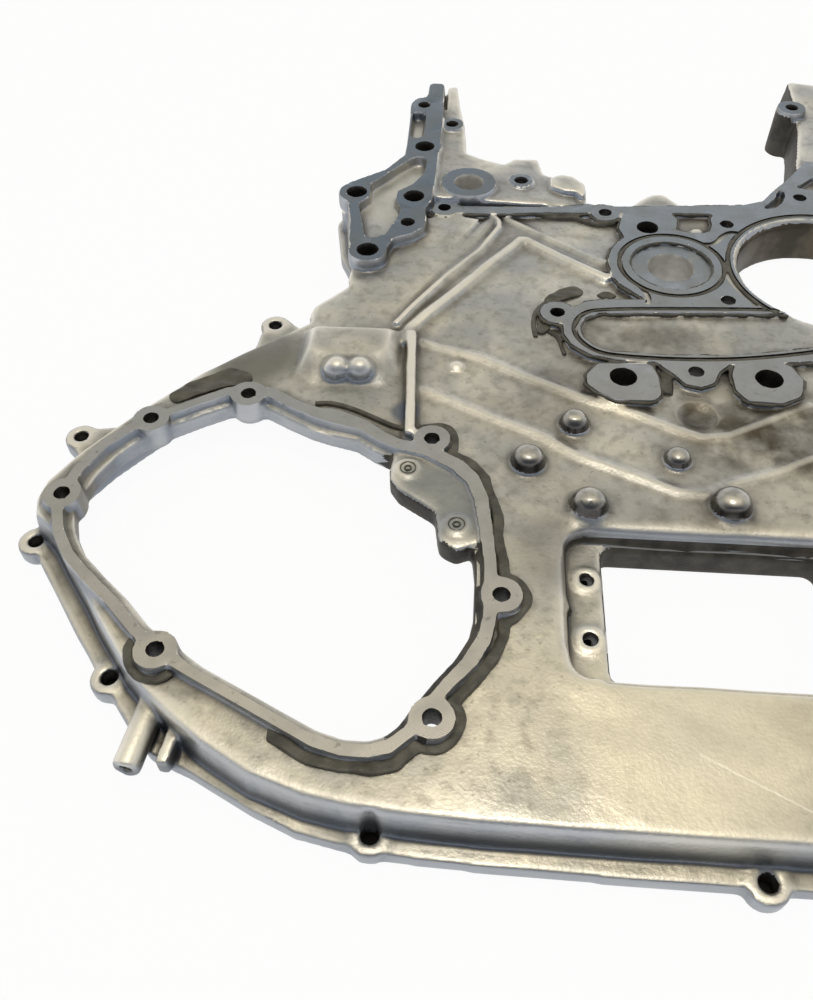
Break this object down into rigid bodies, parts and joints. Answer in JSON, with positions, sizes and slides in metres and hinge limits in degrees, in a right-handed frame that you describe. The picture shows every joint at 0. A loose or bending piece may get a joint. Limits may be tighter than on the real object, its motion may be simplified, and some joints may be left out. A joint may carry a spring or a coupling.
{
  "type": "timing cover",
  "caption": "Wide die-cast front timing cover with two large side openings, a chain well, a main bore, a centre ring bore and raised corner frames.",
  "frame": {"origin": "axis of the centre ring bore, on the block-side face", "axes": "+Z out of the engine, +X towards the main bore's side, +Y towards the two upper arms"},
  "size_m": [0.609, 0.5631, 0.0336],
  "materials": {
    "cast_aluminium": "as-cast, satin, machined on the faces",
    "cured_sealant": "matt cured sealant"
  },
  "bodies": {
    "root": {"timing_cover": "cast_aluminium", "sealant_rim_bead": "cured_sealant", "sealant_corner": "cured_sealant", "sealant_blot_far": "cured_sealant", "sealant_oval_end": "cured_sealant"}
  },
  "joints": []
}
